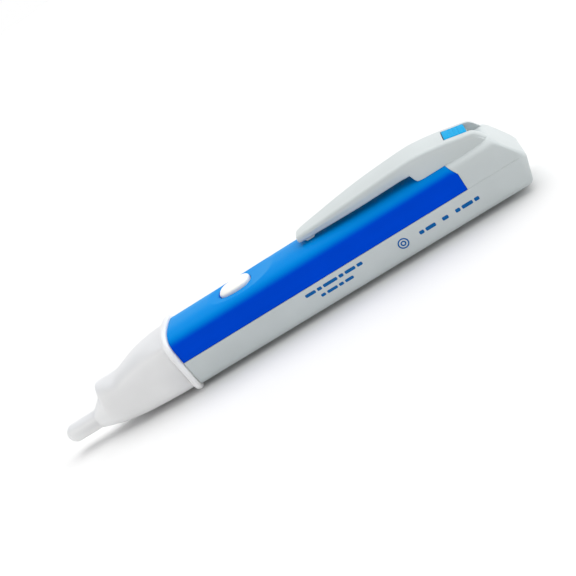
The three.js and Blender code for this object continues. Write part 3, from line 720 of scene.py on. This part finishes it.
def outer_sleeve():
    upper, lower = tail_profile()
    half = barrel_half(0, 34, 64)
    loop = both_sides(half)
    plan_corner = 2.8
    edge = 1.25                  # rounding between the slope and the sides

    def wall(z):
        for (y0, z0), (y1, z1) in zip(half, half[1:]):
            if z0 <= z <= z1 and z1 > z0:
                return lerp(y0, y1, (z - z0) / (z1 - z0))
        return half[-1][0]

    def ring(x, shrink=0.0):
        top, bottom = height_on(upper, x), height_on(lower, x)
        into = max(0.0, x - (TAIL_X + 0.3 - plan_corner))
        narrow = plan_corner - math.sqrt(max(plan_corner ** 2 - into ** 2, 0.0))
        scale = 1 - (narrow + shrink) / HALF_WIDTH
        out = []
        for y, z in loop:
            z = soft_max(soft_min(z, top, 1.0), bottom, 0.5 if x > 70 else 0)
            depth = max(top - z, 0.0)
            if depth < edge and x > 68:
                limit = max(wall(z) - edge + math.sqrt(edge ** 2 - (edge - depth) ** 2), 0.0)
                y = math.copysign(min(abs(y), limit), y)
            out.append((x, y * scale, lerp(z, 9.0, shrink / 9.0)))
        return out

    stations = spread(SHELL_FRONT + 0.16, 58, 6.0) + spread(59, 65, 2.0) + spread(65.6, 72, 0.35)
    stations += spread(72.2, 75.4, 0.16) + spread(75.5, 76.3, 0.08) + spread(76.34, TAIL_X - 0.04, 0.03)
    rings = [ring(SHELL_FRONT, 0.15), ring(SHELL_FRONT + 0.05, 0.05)] + [ring(x) for x in stations]
    piece = loft("outer_sleeve_skin", rings)
    cavity = barrel("tool", WALL, SHELL_FRONT - 2, CAVITY_REAR)
    low_end = barrel("low", WALL, 60, 71.6)
    combine(low_end, block("lid", 59, 73, -15, 15, 14, 30))
    combine(cavity, low_end, "UNION")
    combine(piece, cavity)
    opening = slab("tool", [
        (SHELL_FRONT - 2, RIDGE_Z - SEAM / 2), (SHELL_REAR + SEAM, RIDGE_Z - SEAM / 2),
        (SHELL_REAR + SEAM, 14.3), (shell_rear(19.5) + SEAM, 19.5), (SHELL_FRONT - 2, 19.5),
    ], -12, 12)
    combine(piece, opening)
    combine(piece, latch_window(15, 20))
    return finish(piece, GREY, "sleeve", bevel=0.13, sharp=40, nodes=("outer_sleeve",))


def printed_marks():
    """Plain printed dashes and a ring mark on the near lower side, standing in for the maker's print."""
    half = barrel_half(0)
    side = [p for p in half if 2.4 < p[1] <= RIDGE_Z]

    def wall_y(z):
        for (y0, z0), (y1, z1) in zip(side, side[1:]):
            if z0 <= z <= z1:
                return lerp(y0, y1, (z - z0) / (z1 - z0))
        return side[-1][0]

    points, faces = [], []

    def mark(outline, hole=None):
        """A thin raised patch; outline and hole are loops of (x, z) with equal counts."""
        start = len(points)
        count = len(outline)
        if hole is None:
            points.extend((x, -wall_y(z) - 0.025, z) for x, z in outline)
            faces.append(tuple(range(start, start + count)))
            points.extend((x, -wall_y(z) + 0.02, z) for x, z in outline)
            for i in range(count):
                j = (i + 1) % count
                faces.append((start + i, start + j, start + count + j, start + count + i))
            faces.append(tuple(reversed(range(start + count, start + 2 * count))))
            return
        loops = [(outline, 0.025), (hole, 0.025), (hole, -0.02), (outline, -0.02)]
        for loop, out in loops:
            points.extend((x, -wall_y(z) - out, z) for x, z in loop)
        for k in range(4):
            for i in range(count):
                j = (i + 1) % count
                a, b = start + k * count, start + ((k + 1) % 4) * count
                faces.append((a + i, a + j, b + j, b + i))

    def bar(x, z, length, height, r=0.3):
        """A bar with rounded corners, x and z at the middle of its front end."""
        outline = []
        half = height / 2 - r
        for cx, cz, start in ((x + length - r, z + half, 0), (x + r, z + half, 90),
                              (x + r, z - half, 180), (x + length - r, z - half, 270)):
            for i in range(4):
                angle = math.radians(start + i * 30)
                outline.append((cx + r * math.cos(angle), cz + r * math.sin(angle)))
        mark(outline)

    def row(x, z, height, *lengths):
        for length in lengths:
            bar(x, z, length, height)
            x += length + 0.55

    row(7.6, 7.0, 1.0, 3.2, 1.4, 4.4, 1.4, 3.2, 1.7)
    row(11.3, 4.8, 0.9, 1.4, 3.2, 1.4, 2.6)
    circle = [(math.cos(i / 28 * math.tau), math.sin(i / 28 * math.tau)) for i in range(28)]
    for outer, inner in ((1.6, 1.2), (0.8, 0.4)):
        mark([(37.6 + c * outer, 5.45 + s * outer) for c, s in circle],
             [(37.6 + c * inner, 5.45 + s * inner) for c, s in circle])
    row(42.6, 5.5, 1.1, 1.4, 3.0)
    row(49.6, 5.5, 1.1, 1.8)
    row(53.6, 5.5, 1.1, 1.4, 3.2, 1.4)
    piece = make_piece("printed_marks", points, faces)
    return finish(piece, INK, "sleeve")


# ---- clip ----
def clip_low(x):
    """Height of the clip's underside: the arm's, then down the rounded front of the skirt."""
    arm = ARM_UNDER_Z + (x - CLIP[0][0]) * ARM_UNDER_RISE
    if x <= SKIRT_FRONT[0][0]:
        return arm
    return min(arm, height_on(SKIRT_FRONT, x))


def clip_top(x):
    return soft_min(between(CLIP, x, 1), slope_z(x) - 0.05, 1.3)


def clip_ring(x, corner_steps=7, side_steps=18):
    """One section of the clip, its foot flared and filleted where it grows out of the sleeve."""
    crown = 0.12
    top, half, low = clip_top(x) - crown, between(CLIP, x, 2), clip_low(x)
    flare = CLIP_FLARE * smooth((x - 46) / 6)
    fillet = FOOT_FILLET * smooth((x - 57.4) / 2.5)
    rounding = min(1.15, (top - low) * 0.45, half * 0.5)
    under = lerp(min(1.0, (top - low) * 0.4), 0.35, smooth((x - 48) / 1.5))

    tuck = ARM_TUCK * (1 - smooth((x - 45.5) / 2.5)) * smooth((x - 14) / 6)

    def side(z):
        out = half + flare * min(1.0, (top - z) / (max(top, 19.5) - 17.0))
        out -= tuck * min(max((lerp(low, top, 0.6) - z) / ((top - low) * 0.6), 0.0), 1.0) ** 1.6
        rise = min(max((z - FOOT_Z) / max(fillet, 0.01), 0.0), 1.0)
        return out + fillet * (1 - math.sqrt(1 - (1 - rise) ** 2))

    right = []
    for i in range(corner_steps + 1):
        angle = math.pi / 2 * (1 - i / corner_steps)
        right.append((half - rounding + rounding * math.cos(angle),
                      top - rounding + rounding * math.sin(angle)))
    for i in range(1, side_steps + 1):
        z = lerp(top - rounding, low + under, i / side_steps)
        right.append((side(z), z))
    for i in range(1, corner_steps + 1):
        angle = math.pi / 2 * i / corner_steps
        right.append((side(low + under) - under + under * math.cos(angle),
                      low + under - under * math.sin(angle)))
    ring = []
    span = half - rounding
    for i in range(1, 12):
        y = lerp(-span, span, i / 12)
        ring.append((x, y, top + crown * (1 - (y / span) ** 2)))
    ring += [(x, y, z) for y, z in right]
    ring += [(x, -y, z) for y, z in reversed(right)]
    return ring


def pocket_clip():
    rings = []
    for i in range(1, 9):
        angle = i / 8 * math.pi / 2
        grow = math.sin(angle)
        x = 13.35 + 0.9 * (1 - math.cos(angle))
        ring = clip_ring(14.25)
        top, low = clip_top(14.25), clip_low(14.25)
        middle = low + (top - low) * 0.3
        rings.append([(x, y * lerp(0.72, 1, grow), lerp(middle, z, lerp(0.35, 1, grow)))
                      for _, y, z in ring])
    stations = spread(14.6, 47.8, 0.9) + spread(48.1, 51.4, 0.11) + spread(52, 56.5, 0.9)
    stations += spread(57, 66, 0.6) + spread(66.3, 72.0, 0.15)
    rings += [clip_ring(x) for x in stations]
    piece = loft("pocket_clip", rings)
    combine(piece, slab("tool", [(22, 17), (22, 20.5), (34.8, 21.6), (46, 22.0), (46, 17)], -3.3, 3.3))
    pocket_half = LATCH_HALF + SEAM
    pocket = slab("tool", [
        (LATCH_FRONT - 0.08, 25), (LATCH_FRONT - 0.08, 19.9),
        (LATCH_REAR + 0.1, 19.4), (LATCH_REAR + 0.1, 25),
    ], -pocket_half, pocket_half)
    combine(piece, pocket)
    combine(piece, block("tool", LATCH_REAR + 0.05, 74, -pocket_half, pocket_half, 10, 25))
    combine(piece, latch_window(10, 21))
    combine(piece, barrel("tool", -SEAM, 40, CLIP_TRIM_END))
    combine(piece, barrel("tool", WALL / 2, CLIP_TRIM_END - 0.5, 73))   # nothing hangs into the hollow
    nub = slab("tool", [
        (15.3, 20.2), (15.4, 18.7), (15.9, 18.25), (17.9, 18.25), (18.6, 18.8), (19.2, 20.2),
    ], -2.7, 2.7)
    combine(piece, nub, "UNION")
    finish(piece, GREY, bevel=0.18, segments=3, sharp=42, nodes=("clip_arm", "clip_base"))
    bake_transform(piece)
    return piece


def latch_tab():
    """The light blue rocker: a rounded cap with three faint grip lines, its stem, beam and hook."""
    def top(x):
        return between(CLIP, x, 1) + 0.02

    rings = []
    length = LATCH_REAR - LATCH_FRONT - 0.12
    for x in spread(LATCH_FRONT + 0.06, LATCH_FRONT + 0.5, 0.08) + spread(
            LATCH_FRONT + 0.7, LATCH_REAR - 0.7, 0.12) + spread(LATCH_REAR - 0.5, LATCH_REAR - 0.06, 0.08):
        along = x - LATCH_FRONT - 0.06
        near_end = min(along, length - along)
        edge = 0.4
        drop = edge - math.sqrt(max(edge ** 2 - max(edge - near_end, 0) ** 2, 0))
        groove = 0.13 * sum(math.exp(-((along / length - c) / 0.028) ** 2) for c in (0.32, 0.5, 0.68))
        half = LATCH_HALF - drop * 0.6
        ring = []
        for i in range(33):
            s = -1 + 2 * i / 32
            side = max(0.0, abs(s) - 0.88) / 0.12
            fade = max(0.0, 1 - max(0.0, abs(s) - 0.7) / 0.12)
            rounded = 0.4 * (1 - math.sqrt(max(1 - side * side, 0)))
            z = top(x) - drop - groove * fade - rounded + 0.08 * (1 - s * s)
            ring.append((x, s * half, z))
        ring += [(x, half, 20.6), (x, -half, 20.6)]
        rings.append(ring)
    piece = loft("latch_rocker", rings)
    across = (-BEAM_HALF, BEAM_HALF)
    hook = [(58.1, 15.5), (58.1, 14.8), (59.1, 14.8), (59.4, 15.5)]
    for part in (block("tool", 62.2, 64.6, *across, BEAM_LOW, 20.9),
                 block("tool", 58.1, 62.5, *across, BEAM_LOW, BEAM_TOP), slab("tool", hook, *across)):
        combine(piece, part, "UNION")
    angles = [i / 24 * math.tau for i in range(24)]
    pin_hole = [(PIN_X + PIN_HOLE * math.cos(a), PIN_Z + PIN_HOLE * math.sin(a)) for a in angles]
    combine(piece, slab("tool", pin_hole, -3, 3))
    return finish(piece, SKY, "latch", bevel=0.06, sharp=50, nodes=("latch_tab",))


def power_button():
    shoulder = 17.35
    pillow = 3.0                 # squareness of the dome's side profile
    rings = [button_ring(16.4), button_ring(17.0), button_ring(shoulder)]
    for i in range(1, 22):
        angle = i / 22 * math.pi / 2
        scale = math.cos(angle) ** (2 / pillow)
        rise = (BUTTON_TOP - shoulder) * math.sin(angle) ** (2 / pillow)
        rings.append(button_ring(shoulder + rise, scale))
    piece = loft("power_button_cap", rings)
    return finish(piece, WHITE, "button", bevel=0.08, sharp=50, nodes=("power_button",))


# ---- inside ----
def turned(name, profile, x_end, z, count=64):
    """A turned piece along X; profile is (radius, distance from x_end towards the nose)."""
    rings = []
    for r, d in profile:
        r = max(r, 0.01)
        rings.append([(x_end - d, r * math.cos(i / count * math.tau), z + r * math.sin(i / count * math.tau))
                      for i in range(count)])
    return loft(name, rings)


def cell_material():
    """A plastic-sleeved cell: dark body, a copper-coloured band towards the front end, bare steel ends."""
    material, tree, shader, coords = new_material("cell_sleeve")
    split = tree.nodes.new("ShaderNodeSeparateXYZ")
    tree.links.new(coords.outputs["Object"], split.inputs["Vector"])
    shift = tree.nodes.new("ShaderNodeMath")
    shift.operation = "ADD"
    shift.inputs[1].default_value = (2 * CELL_LENGTH + CELL_GAP - CELL_REAR) * MM
    tree.links.new(split.outputs["X"], shift.inputs[0])
    wrap = tree.nodes.new("ShaderNodeMath")
    wrap.operation = "MODULO"
    wrap.inputs[1].default_value = (CELL_LENGTH + CELL_GAP) * MM
    tree.links.new(shift.outputs[0], wrap.inputs[0])
    bands = tree.nodes.new("ShaderNodeValToRGB")
    bands.color_ramp.interpolation = "CONSTANT"
    bands.color_ramp.elements[0].color = (0.45, 0.46, 0.48, 1)
    bands.color_ramp.elements[1].position = 0.045
    bands.color_ramp.elements[1].color = (0.50, 0.20, 0.06, 1)
    for position, colour in ((0.33, (0.012, 0.012, 0.014, 1)), (0.985, (0.45, 0.46, 0.48, 1))):
        element = bands.color_ramp.elements.new(position)
        element.color = colour
    scale = tree.nodes.new("ShaderNodeMath")
    scale.operation = "DIVIDE"
    scale.inputs[1].default_value = (CELL_LENGTH + CELL_GAP) * MM
    tree.links.new(wrap.outputs[0], scale.inputs[0])
    tree.links.new(scale.outputs[0], bands.inputs["Fac"])
    tree.links.new(bands.outputs["Color"], shader.inputs["Base Color"])
    fine = noise(tree, coords, 1800, 3)
    roughness_map(tree, shader, fine, 0.22, 0.34)
    bump(tree, shader, fine, 0.03, 0.00002)
    return material


def cells():
    material = cell_material()
    profile = [(0, 0), (4.2, 0), (4.55, 0.03), (4.75, 0.15), (4.9, 0.12), (5.1, 0.16), (5.22, 0.3)]
    profile += [(CELL_RADIUS, 0.5)] + [(CELL_RADIUS, d) for d in spread(1.5, CELL_LENGTH - 2.2, 5)]
    end = CELL_LENGTH
    profile += [(CELL_RADIUS, end - 1.7), (5.2, end - 1.45), (5.02, end - 1.3), (4.8, end - 1.32),
                (4.6, end - 1.22),
                (2.9, end - 1.02), (2.2, end - 0.98), (1.95, end - 0.9), (1.9, end - 0.7), (1.9, end - 0.25),
                (1.8, end - 0.08), (1.6, end), (0, end)]
    for name, rear in (("battery_rear", CELL_REAR), ("battery_front", CELL_REAR - CELL_LENGTH - CELL_GAP)):
        piece = turned(name + "_cell", profile, rear, CELL_Z)
        finish(piece, material, "core", nodes=(name,))


def wire(name, path, radius, material, body, nodes):
    curve = bpy.data.curves.new(name, "CURVE")
    curve.dimensions = "3D"
    curve.bevel_depth = radius * MM
    curve.bevel_resolution = 4
    curve.use_fill_caps = True
    spline = curve.splines.new("NURBS")
    spline.points.add(len(path) - 1)
    spline.use_endpoint_u = True
    spline.order_u = 4
    for point, (x, y, z) in zip(spline.points, path):
        point.co = (x * MM, y * MM, (z + LIFT) * MM, 1)
    holder = bpy.data.objects.new(name + "_path", curve)
    bpy.context.scene.collection.objects.link(holder)
    graph = bpy.context.evaluated_depsgraph_get()
    mesh = bpy.data.meshes.new_from_object(holder.evaluated_get(graph))
    bpy.data.objects.remove(holder)
    piece = bpy.data.objects.new(name, mesh)
    bpy.context.scene.collection.objects.link(piece)
    return finish(piece, material, body, nodes=nodes)


def wires():
    turns = 3
    coil = []
    for i in range(turns * 16 + 1):
        t = i / (turns * 16)
        angle = t * turns * math.tau
        radius = 3.6 - 1.6 * t
        coil.append((CELL_REAR + 1.2 - 0.95 * t, radius * math.cos(angle), CELL_Z + radius * math.sin(angle)))
    wire("battery_coil_wire", coil, 0.14, STEEL, "core", ("battery_coil",))
    for side, word in ((-1, "left"), (1, "right")):
        path = [(-35.25, side * 1.27, 12.2), (-33.6, side * 1.27, 12.25), (-31.6, side * 1.35, 14.2),
                (-30.0, side * 1.4, 15.0), (-29.3, side * 1.4, 14.6), (-29.2, side * 1.4, 13.0)]
        wire(f"led_lead_{word}_wire", path, 0.24, STEEL, "core", (f"led_lead_{word}",))


def carried_over():
    """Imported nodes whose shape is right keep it, with a finish of their own."""
    finishes = {
        "latch_pin": STEEL, "switch_body": BLACK, "switch_stem": BRASS, "tray": DARK,
        "circuit_board": BOARD,
        "board_screw_front": STEEL, "board_screw_rear": STEEL, "control_chip": BLACK, "driver_chip": BLACK,
        "capacitor": TAN, "resistor_front": BLACK, "resistor_rear": BLACK, "led": LED_CLEAR,
        "sensor_rod": BRASS,
        "sensor_tip": BRASS, "buzzer": BLACK, "battery_contact": STEEL, "return_strip": BRASS,
    }
    for node, material in finishes.items():
        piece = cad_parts[node]
        piece.data.materials.clear()
        piece.data.materials.append(material)


# ---- camera, floor and light ----
def camera():
    azimuth, elevation, roll = math.radians(13.30), math.radians(18.82), math.radians(35.96)
    distance = 320.8
    aim = Vector((3.04, 0, 8.74 + LIFT))
    back = Vector((math.sin(azimuth) * math.cos(elevation), -math.cos(azimuth) * math.cos(elevation),
                   math.sin(elevation)))
    level = Vector((math.cos(azimuth), math.sin(azimuth), 0))
    up = back.cross(level)
    right = math.cos(roll) * level - math.sin(roll) * up
    above = math.sin(roll) * level + math.cos(roll) * up
    data = bpy.data.cameras.new("camera")
    data.lens = 72.4
    data.sensor_width = 36
    data.clip_start = 0.01
    data.clip_end = 50
    holder = bpy.data.objects.new("camera", data)
    bpy.context.scene.collection.objects.link(holder)
    place = (aim + back * distance) * MM
    holder.matrix_world = Matrix((
        (right.x, above.x, back.x, place.x),
        (right.y, above.y, back.y, place.y),
        (right.z, above.z, back.z, place.z),
        (0, 0, 0, 1),
    ))
    bpy.context.scene.camera = holder


def sun(name, towards, strength, spread_degrees):
    """A very wide distant light, which lights floor and object alike with soft shadows."""
    data = bpy.data.lights.new(name, "SUN")
    data.energy = strength
    data.angle = math.radians(spread_degrees)
    holder = bpy.data.objects.new(name, data)
    holder.rotation_euler = Vector(towards).to_track_quat("Z", "Y").to_euler()
    bpy.context.scene.collection.objects.link(holder)


def studio():
    material = plastic("floor_paper", (0.82, 0.82, 0.82), 0.9, 0.02, 400, 0.005)
    size = 6.0
    mesh = bpy.data.meshes.new("floor")
    corners = [(-size, -size, 0), (size, -size, 0), (size, size, 0), (-size, size, 0)]
    mesh.from_pydata(corners, [], [(0, 1, 2, 3)])
    floor = bpy.data.objects.new("floor", mesh)
    mesh.materials.append(material)
    bpy.context.scene.collection.objects.link(floor)
    world = bpy.data.worlds.new("studio")
    world.use_nodes = True
    tree = world.node_tree
    coords = tree.nodes.new("ShaderNodeTexCoord")
    split = tree.nodes.new("ShaderNodeSeparateXYZ")
    tree.links.new(coords.outputs["Generated"], split.inputs["Vector"])
    sky = tree.nodes.new("ShaderNodeValToRGB")
    sky.color_ramp.elements[0].position = 0.30
    sky.color_ramp.elements[0].color = (1, 1, 1, 1)
    sky.color_ramp.elements[1].position = 0.62
    sky.color_ramp.elements[1].color = (0.28, 0.28, 0.28, 1)
    tree.links.new(split.outputs["Z"], sky.inputs["Fac"])
    backdrop = tree.nodes["Background"]
    tree.links.new(sky.outputs["Color"], backdrop.inputs["Color"])
    backdrop.inputs["Strength"].default_value = 1.0
    bpy.context.scene.world = world
    sun("overhead", (0.1, 0.25, 1.0), 2.4, 75)
    sun("tail_side", (1.0, 0.1, 0.5), 0.7, 50)
    bpy.context.scene.view_settings.view_transform = "Standard"


camera()
studio()
nose_cap()
upper_shell()
outer_sleeve()
printed_marks()
pocket_clip()
latch_tab()
power_button()
cells()
wires()
carried_over()
